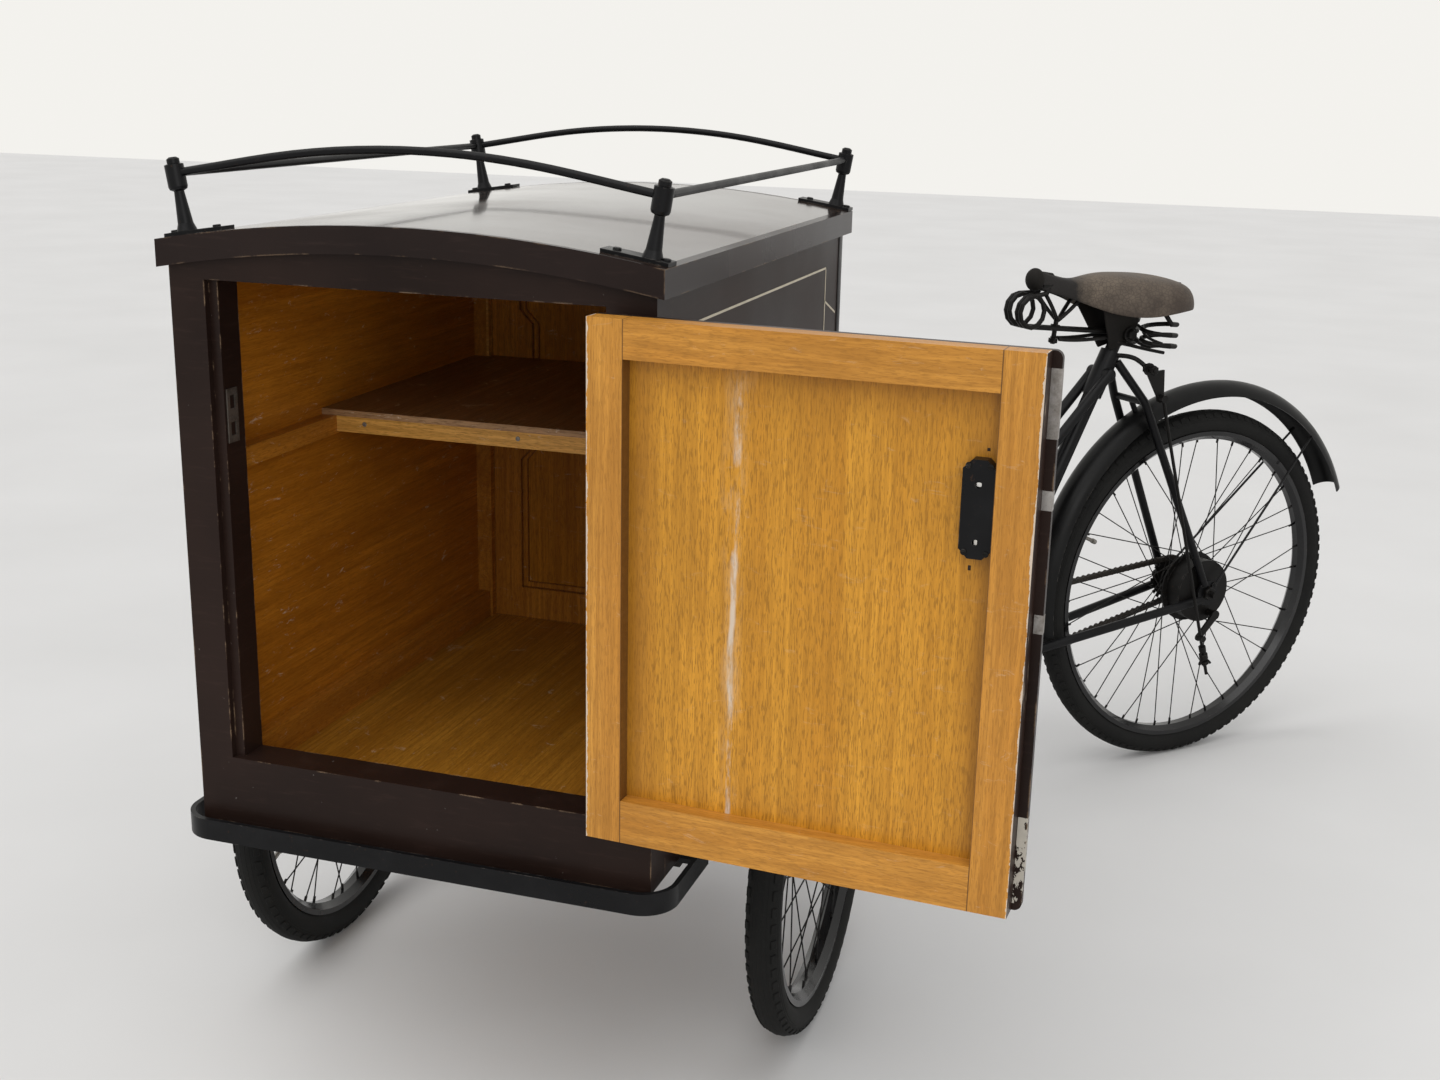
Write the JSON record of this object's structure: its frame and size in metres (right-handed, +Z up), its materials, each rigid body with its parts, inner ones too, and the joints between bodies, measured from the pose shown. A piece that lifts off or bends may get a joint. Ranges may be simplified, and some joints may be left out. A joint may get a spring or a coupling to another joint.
{
  "type": "box-carrier delivery tricycle",
  "caption": "Pedal delivery tricycle with a tall wooden load box between its front wheels, an arched roof with a rail, a front door, a shelf and a cycle rear half.",
  "frame": {"origin": "middle of the plan outline, on the floor, as it stands steered with the door open", "axes": "+Y runs from the door of the box to its back, +X to the right as seen from in front of the door, +Z up"},
  "size_m": [1.4538, 1.946, 1.1778],
  "materials": {
    "box_wood": "gloss",
    "inside_wood": "satin",
    "pine": "satin",
    "steel_black": "gloss",
    "steel_bare": "satin",
    "tyre": "matte",
    "grip_rubber": "matte",
    "leather": "matte"
  },
  "bodies": {
    "carriage": {"box_front_frame": "box_wood", "box_side_left": "box_wood", "box_side_right": "box_wood", "box_back": "box_wood", "box_floor": "inside_wood", "roof_board": "box_wood", "roof_fascia": "box_wood", "back_inner_frame": "inside_wood", "inner_battens": "inside_wood", "shelf": "inside_wood", "lock_keep": "steel_bare", "hinges_fixed": "steel_black", "guard_rail": "steel_black", "chassis": "steel_black", "front_axle": "steel_black", "leaf_springs": "steel_black", "head_brackets": "steel_black", "handlebar": "steel_black", "handlebar_grips": "grip_rubber", "roof_rack": "steel_black"},
    "door": {"door_skin": "box_wood", "door_frame": "pine", "door_panel": "inside_wood", "lock_case": "steel_black", "hinges_door": "steel_black"},
    "front_wheel_left": {"front_tyre_left": "tyre", "front_rim_left": "steel_black", "front_hub_left": "steel_bare"},
    "front_wheel_right": {"front_tyre_right": "tyre", "front_rim_right": "steel_black", "front_hub_right": "steel_bare"},
    "cycle": {"cycle_frame": "steel_black", "rear_axle": "steel_bare", "brake_plate": "steel_bare", "brake_rod": "steel_bare", "saddle_frame": "steel_bare", "saddle": "leather", "mudguard": "steel_black", "chain": "steel_bare"},
    "rear_wheel": {"rear_tyre": "tyre", "rear_rim": "steel_black", "rear_hub": "steel_bare"},
    "crank": {"crank": "steel_bare"},
    "pedal_left": {"pedal_left": "grip_rubber"},
    "pedal_right": {"pedal_right": "grip_rubber"}
  },
  "joints": [
    {"name": "steering", "type": "hinge", "parent": "carriage", "child": "cycle", "pos_m": [-0.31641, -0.08811, 0.476], "axis": [0, 0, 1], "range_deg": [-5.5, 94.5]},
    {"name": "door_hinge", "type": "hinge", "parent": "carriage", "child": "door", "pos_m": [-0.08441, -0.90211, 0.743], "axis": [0, 0, 1], "range_deg": [-176.4, 2]},
    {"name": "front_wheel_left_spin", "type": "hinge", "parent": "carriage", "child": "front_wheel_left", "pos_m": [0.04609, -0.45711, 0.254], "axis": [1, 0, 0], "continuous": true},
    {"name": "front_wheel_right_spin", "type": "hinge", "parent": "carriage", "child": "front_wheel_right", "pos_m": [-0.67891, -0.45711, 0.254], "axis": [1, 0, 0], "continuous": true},
    {"name": "rear_wheel_spin", "type": "hinge", "parent": "cycle", "child": "rear_wheel", "pos_m": [0.4616, 0.7036, 0.335], "axis": [0.7133, -0.7009, 0], "continuous": true},
    {"name": "crank_spin", "type": "hinge", "parent": "cycle", "child": "crank", "pos_m": [0.1241, 0.36015, 0.262], "axis": [0.7133, -0.7009, 0], "continuous": true},
    {"name": "pedal_left_spin", "type": "hinge", "parent": "crank", "child": "pedal_left", "pos_m": [0.09958, 0.16686, 0.20557], "axis": [0.7133, -0.7009, 0], "continuous": true},
    {"name": "pedal_right_spin", "type": "hinge", "parent": "crank", "child": "pedal_right", "pos_m": [0.14861, 0.55345, 0.31843], "axis": [0.7133, -0.7009, 0], "continuous": true}
  ]
}
